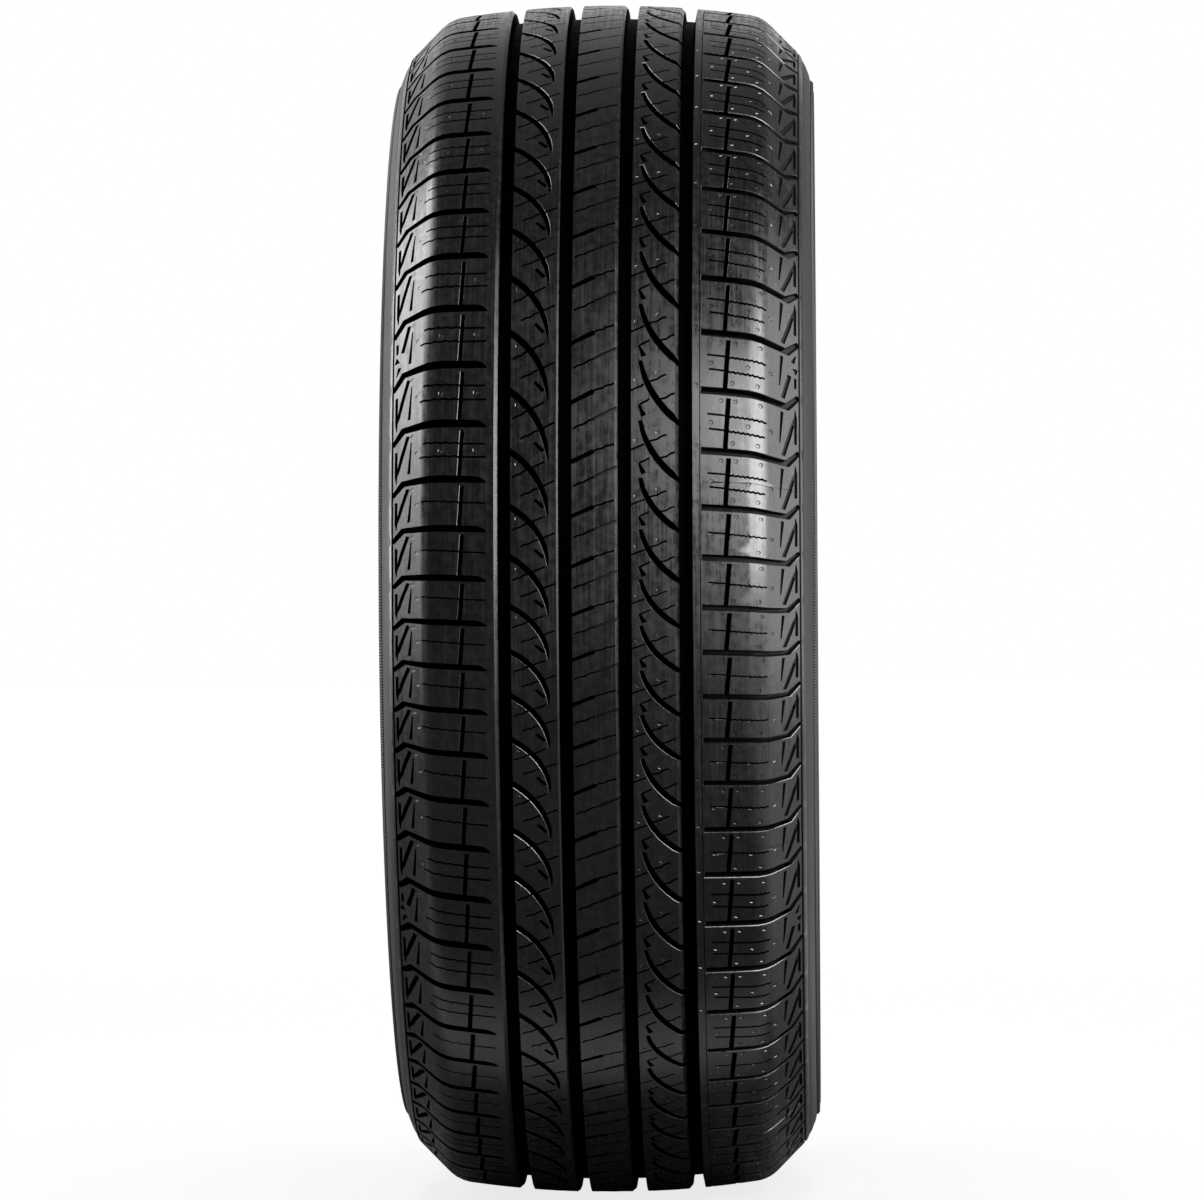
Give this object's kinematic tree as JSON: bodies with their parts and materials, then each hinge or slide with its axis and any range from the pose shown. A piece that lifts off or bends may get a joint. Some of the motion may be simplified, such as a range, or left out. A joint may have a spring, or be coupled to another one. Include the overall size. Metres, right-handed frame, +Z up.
{
  "type": "car tyre",
  "caption": "Bare radial car tyre with straight main grooves, grooved shoulder blocks, rounded sidewalls and two beads that seat on a wheel rim.",
  "frame": {"origin": "centre of the wheel, on the spin axis, midway between the two beads", "axes": "+Y along the spin axis, +Z up, with the tyre standing on its tread"},
  "size_m": [0.7158, 0.249, 0.7141],
  "materials": {
    "rubber": "moulded black rubber, matt with a faint sheen"
  },
  "bodies": {
    "root": {"tyre": "rubber"}
  },
  "joints": []
}
